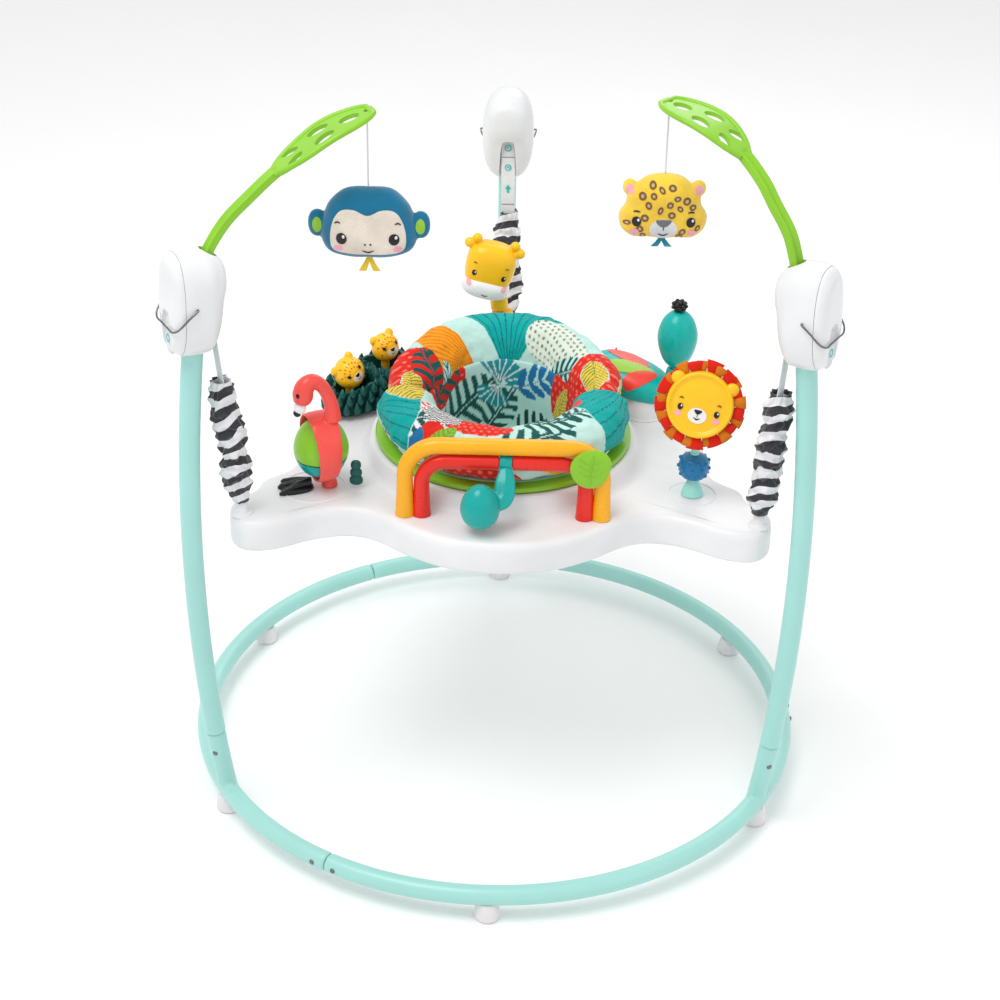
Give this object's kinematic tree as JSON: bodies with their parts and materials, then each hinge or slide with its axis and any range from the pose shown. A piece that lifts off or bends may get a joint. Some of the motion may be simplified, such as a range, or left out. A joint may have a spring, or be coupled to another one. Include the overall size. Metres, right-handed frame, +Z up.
{
  "type": "activity jumper",
  "caption": "Free-standing activity jumper: round tube base, three bowed legs, sprung tray with a turning padded seat, spinning and rocking toys, and soft toys hung from leaf arms.",
  "frame": {"origin": "on the floor at the middle of the bounding box, with all feet at z = 0", "axes": "+Z up, +Y to the back where the third leg stands, +X to the right of someone facing the tray's front"},
  "size_m": [0.8254, 0.8572, 0.933],
  "materials": {
    "mint": "satin",
    "white": "soft sheen",
    "clear_white": "translucent",
    "steel": "satin",
    "webbing": "woven",
    "zebra": "printed, gathered",
    "lime": "satin",
    "fabric": "printed, padded",
    "coral": "satin",
    "black": "satin",
    "forest": "satin",
    "yellow": "satin",
    "teal": "gloss",
    "blue": "satin",
    "red": "satin",
    "ribbon": "woven ribbon",
    "plush_blue": "short pile",
    "plush_yellow": "short pile"
  },
  "bodies": {
    "frame": {"base_tube_back": "mint", "leg_tube_back": "mint", "tower_housing_back": "white", "tower_cover_back": "white", "base_tube_left": "mint", "leg_tube_left": "mint", "tower_housing_left": "white", "tower_cover_left": "white", "base_tube_right": "mint", "leg_tube_right": "mint", "tower_housing_right": "white", "tower_cover_right": "white", "foot_1": "clear_white", "foot_2": "clear_white", "foot_3": "clear_white", "foot_4": "clear_white", "foot_5": "clear_white", "foot_6": "clear_white", "leaf_arm_left": "lime", "leaf_arm_right": "lime"},
    "suspension": {"strap_back": "webbing", "strap_left": "webbing", "strap_right": "webbing", "spring_back": "steel", "spring_left": "steel", "spring_right": "steel", "spring_cover_back": "zebra", "spring_cover_left": "zebra", "spring_cover_right": "zebra"},
    "tray": {"tray_shell": "white", "arch_yellow": "yellow", "arch_red": "red", "lion_post": "mint", "flamingo_body": "coral", "flamingo_feet": "black", "bush": "forest", "giraffe_neck": "yellow", "bird_housing": "teal"},
    "seat": {"seat_ring": "lime", "seat_pad": "fabric", "seat_sling": "fabric"},
    "flamingo_egg": {"flamingo_ball": "lime"},
    "cubs": {"cub_front": "yellow", "cub_rear": "yellow"},
    "giraffe": {"giraffe_head": "yellow"},
    "bird": {"bird_body": "teal", "bird_crest": "black"},
    "lion": {"lion_head": "yellow", "lion_mane": "ribbon"},
    "lion_spinner": {"lion_ball": "blue"},
    "paddle": {"paddle": "teal"},
    "leaf_disc": {"arch_leaf": "lime"},
    "monkey": {"monkey_string": "webbing", "monkey_plush": "plush_blue"},
    "leopard": {"leopard_string": "webbing", "leopard_plush": "plush_yellow"},
    "clip_back": {"height_clip_back": "steel"},
    "clip_left": {"height_clip_left": "steel"},
    "clip_right": {"height_clip_right": "steel"}
  },
  "joints": [
    {"name": "height_adjust", "type": "slide", "parent": "frame", "child": "suspension", "axis": [0, 0, 1], "range_m": [-0.025, 0.025]},
    {"name": "tray_bounce", "type": "slide", "parent": "suspension", "child": "tray", "axis": [0, 0, 1], "range_m": [-0.08, 0.03], "stiffness_N_per_m": 1300, "springref_m": 0.03072, "deforming": ["spring_back", "spring_left", "spring_right", "spring_cover_back", "spring_cover_left", "spring_cover_right"]},
    {"name": "seat_spin", "type": "hinge", "parent": "tray", "child": "seat", "pos_m": [0.0045, -0.01209, 0.47], "axis": [0, 0, 1], "continuous": true},
    {"name": "flamingo_egg_spin", "type": "hinge", "parent": "tray", "child": "flamingo_egg", "pos_m": [-0.2195, -0.12209, 0.4965], "axis": [0, 0, 1], "continuous": true},
    {"name": "cub_rock", "type": "hinge", "parent": "tray", "child": "cubs", "pos_m": [-0.1806, 0.11701, 0.4555], "axis": [-0.766, 0.6428, 0], "range_deg": [-6, 6]},
    {"name": "giraffe_nod", "type": "hinge", "parent": "tray", "child": "giraffe", "pos_m": [-0.002, 0.22791, 0.537], "axis": [1, 0, 0], "range_deg": [-12, 12], "stiffness_Nm_per_rad": 0.5},
    {"name": "bird_rock", "type": "hinge", "parent": "tray", "child": "bird", "pos_m": [0.232, 0.10791, 0.513], "axis": [1, 0, 0], "range_deg": [-10, 10], "stiffness_Nm_per_rad": 0.4},
    {"name": "lion_spin", "type": "hinge", "parent": "tray", "child": "lion", "pos_m": [0.243, -0.12009, 0.574], "axis": [0, 0, 1], "continuous": true},
    {"name": "lion_ball_spin", "type": "hinge", "parent": "tray", "child": "lion_spinner", "pos_m": [0.243, -0.12009, 0.481], "axis": [0, 0, 1], "continuous": true},
    {"name": "paddle_swing", "type": "hinge", "parent": "tray", "child": "paddle", "pos_m": [0.01, -0.18609, 0.5142], "axis": [1, 0, 0], "range_deg": [-75, 0]},
    {"name": "leaf_disc_spin", "type": "hinge", "parent": "tray", "child": "leaf_disc", "pos_m": [0.112, -0.20139, 0.516], "axis": [0, 1, 0], "continuous": true},
    {"name": "monkey_swing", "type": "hinge", "parent": "frame", "child": "monkey", "pos_m": [-0.1547, -0.12781, 0.92615], "axis": [1, 0, 0], "range_deg": [-25, 25]},
    {"name": "leopard_swing", "type": "hinge", "parent": "frame", "child": "leopard", "pos_m": [0.18883, -0.07445, 0.92781], "axis": [1, 0, 0], "range_deg": [-25, 25]},
    {"name": "clip_back_release", "type": "hinge", "parent": "frame", "child": "clip_back", "pos_m": [0, 0.40027, 0.73221], "axis": [1, 0, 0], "range_deg": [0, 80]},
    {"name": "clip_left_release", "type": "hinge", "parent": "frame", "child": "clip_left", "pos_m": [-0.35711, -0.21827, 0.73221], "axis": [-0.5, 0.866, 0], "range_deg": [0, 80]},
    {"name": "clip_right_release", "type": "hinge", "parent": "frame", "child": "clip_right", "pos_m": [0.35711, -0.21827, 0.73221], "axis": [-0.5, -0.866, 0], "range_deg": [0, 80]}
  ]
}
